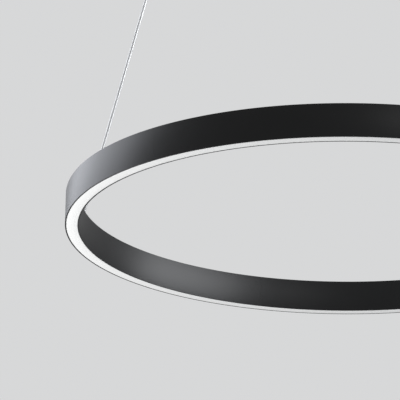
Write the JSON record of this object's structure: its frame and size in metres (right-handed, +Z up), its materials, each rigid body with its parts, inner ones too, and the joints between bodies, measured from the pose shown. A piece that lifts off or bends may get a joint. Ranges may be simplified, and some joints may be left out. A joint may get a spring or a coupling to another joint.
{
  "type": "led ring chandelier",
  "caption": "Round pendant light: a slim hollow metal ring that shines downward through an opal strip, on cables that converge to a round ceiling canopy.",
  "frame": {"origin": "centre of the ceiling face: the plane in which the canopy's rim and the plate meet the ceiling, on the ring's axis", "axes": "+Z up into the ceiling, with the whole light below z = 0. The picture is seen along +Y from below. The cables hang at 50, 170 and 290 degrees from +X"},
  "size_m": [1.2, 1.2, 1.56],
  "materials": {
    "anodised_black": "black anodised, satin",
    "opal": "opal polycarbonate, lit evenly from behind",
    "circuit_board": "white solder mask on an aluminium core",
    "led_package": "yellow phosphor in a white package",
    "connector_plastic": "natural nylon",
    "zinc_steel": "zinc-plated pressed steel",
    "satin_black_fitting": "turned brass, satin black",
    "clamp_steel": "machined and nickel-plated",
    "cable_sheath": "silver-grey sheath over a steel-cored cable, smooth and satin",
    "lead_insulation": "white flat twin insulation",
    "canopy_paint": "satin black powder coat",
    "driver_plastic": "moulded white polycarbonate",
    "tinned_brass": "tinned"
  },
  "bodies": {
    "canopy": {"terminal_block": "connector_plastic", "cord_clamp_base": "connector_plastic", "cord_clamp_bar": "connector_plastic", "ceiling_plate": "zinc_steel", "cable_arms": "zinc_steel", "cable_exits": "satin_black_fitting", "cable_grips": "clamp_steel", "cable_1": "cable_sheath", "cable_2": "cable_sheath", "cable_3": "cable_sheath", "output_lead": "lead_insulation", "input_lead": "lead_insulation", "canopy_cover": "canopy_paint", "driver_case": "driver_plastic", "driver_end_caps": "driver_plastic", "earth_tag": "tinned_brass"},
    "ring": {"ring_section_1": "anodised_black", "ring_section_2": "anodised_black", "ring_section_3": "anodised_black", "diffuser_1": "opal", "diffuser_2": "opal", "diffuser_3": "opal", "led_boards_1": "circuit_board", "led_boards_2": "circuit_board", "led_boards_3": "circuit_board", "led_chips": "led_package", "board_connectors": "connector_plastic", "splice_bar_1": "zinc_steel", "splice_bar_2": "zinc_steel", "splice_bar_3": "zinc_steel", "ring_bushes": "satin_black_fitting", "cable_stops": "clamp_steel", "feed_lead": "lead_insulation"}
  },
  "joints": [
    {"name": "ring_height", "type": "slide", "parent": "canopy", "child": "ring", "axis": [0, 0, 1], "range_m": [0, 0.7], "deforming": ["cable_1", "cable_2", "cable_3"]}
  ]
}
